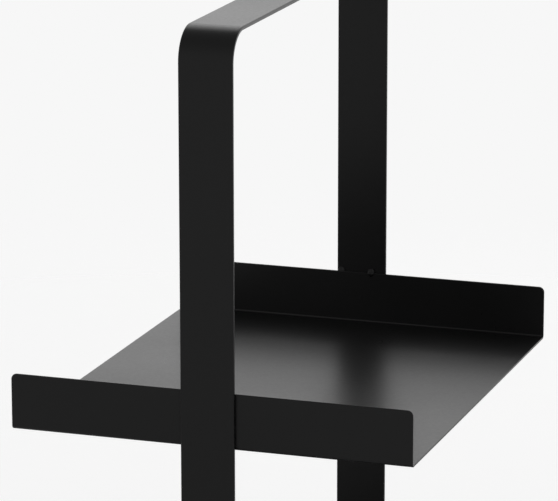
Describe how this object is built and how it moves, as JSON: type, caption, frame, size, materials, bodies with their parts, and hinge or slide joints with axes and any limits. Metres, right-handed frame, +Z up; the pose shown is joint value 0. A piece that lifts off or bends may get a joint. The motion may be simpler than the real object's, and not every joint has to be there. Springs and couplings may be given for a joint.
{
  "type": "tiered tray stand",
  "caption": "Tiered steel tray stand: a flat-bar hoop that doubles as a carrying handle holds open-ended folded trays, on levelling feet.",
  "frame": {"origin": "on the ground, under the middle of the stand", "axes": "+X along the trays towards one open end, +Y from the front flange to the back flange, +Z up"},
  "size_m": [0.3, 0.3666, 0.6],
  "materials": {
    "powder_coat": "satin black powder coat",
    "weld_metal": "weld metal under the same black powder coat",
    "zinc_plate": "zinc-plated steel",
    "nylon": "moulded black nylon",
    "sole_rubber": "matt black rubber"
  },
  "bodies": {
    "stand": {"hoop": "powder_coat", "upper_tray": "powder_coat", "lower_tray": "powder_coat", "upper_tray_front_tack_1": "weld_metal", "upper_tray_front_tack_2": "weld_metal", "upper_tray_front_seam_weld": "weld_metal", "upper_tray_back_tack_1": "weld_metal", "upper_tray_back_tack_2": "weld_metal", "upper_tray_back_seam_weld": "weld_metal", "lower_tray_front_tack_1": "weld_metal", "lower_tray_front_tack_2": "weld_metal", "lower_tray_front_seam_weld": "weld_metal", "lower_tray_back_tack_1": "weld_metal", "lower_tray_back_tack_2": "weld_metal", "lower_tray_back_seam_weld": "weld_metal", "foot_boss_front_left": "powder_coat", "foot_boss_front_right": "powder_coat", "foot_boss_back_left": "powder_coat", "foot_boss_back_right": "powder_coat"},
    "leveller_front_left": {"leveller_pad_front_left": "nylon", "leveller_sole_front_left": "sole_rubber"},
    "screw_front_left": {"leveller_stud_front_left": "zinc_plate"},
    "leveller_front_right": {"leveller_pad_front_right": "nylon", "leveller_sole_front_right": "sole_rubber"},
    "screw_front_right": {"leveller_stud_front_right": "zinc_plate"},
    "leveller_back_left": {"leveller_pad_back_left": "nylon", "leveller_sole_back_left": "sole_rubber"},
    "screw_back_left": {"leveller_stud_back_left": "zinc_plate"},
    "leveller_back_right": {"leveller_pad_back_right": "nylon", "leveller_sole_back_right": "sole_rubber"},
    "screw_back_right": {"leveller_stud_back_right": "zinc_plate"}
  },
  "joints": [
    {"name": "leveller_travel_front_left", "type": "slide", "parent": "stand", "child": "leveller_front_left", "axis": [0, 0, -1], "range_m": [0, 0.004]},
    {"name": "screw_turn_front_left", "type": "hinge", "parent": "leveller_front_left", "child": "screw_front_left", "pos_m": [-0.124, -0.15, 0.0085], "axis": [0, 0, -1], "range_deg": [0, 1440]},
    {"name": "leveller_travel_front_right", "type": "slide", "parent": "stand", "child": "leveller_front_right", "axis": [0, 0, -1], "range_m": [0, 0.004]},
    {"name": "screw_turn_front_right", "type": "hinge", "parent": "leveller_front_right", "child": "screw_front_right", "pos_m": [0.124, -0.15, 0.0085], "axis": [0, 0, -1], "range_deg": [0, 1440]},
    {"name": "leveller_travel_back_left", "type": "slide", "parent": "stand", "child": "leveller_back_left", "axis": [0, 0, -1], "range_m": [0, 0.004]},
    {"name": "screw_turn_back_left", "type": "hinge", "parent": "leveller_back_left", "child": "screw_back_left", "pos_m": [-0.124, 0.15, 0.0085], "axis": [0, 0, -1], "range_deg": [0, 1440]},
    {"name": "leveller_travel_back_right", "type": "slide", "parent": "stand", "child": "leveller_back_right", "axis": [0, 0, -1], "range_m": [0, 0.004]},
    {"name": "screw_turn_back_right", "type": "hinge", "parent": "leveller_back_right", "child": "screw_back_right", "pos_m": [0.124, 0.15, 0.0085], "axis": [0, 0, -1], "range_deg": [0, 1440]}
  ],
  "couplings": [
    {"joint": "screw_turn_front_left", "follows": "leveller_travel_front_left", "rad_per_m": 6283.2},
    {"joint": "screw_turn_front_right", "follows": "leveller_travel_front_right", "rad_per_m": 6283.2},
    {"joint": "screw_turn_back_left", "follows": "leveller_travel_back_left", "rad_per_m": 6283.2},
    {"joint": "screw_turn_back_right", "follows": "leveller_travel_back_right", "rad_per_m": 6283.2}
  ]
}
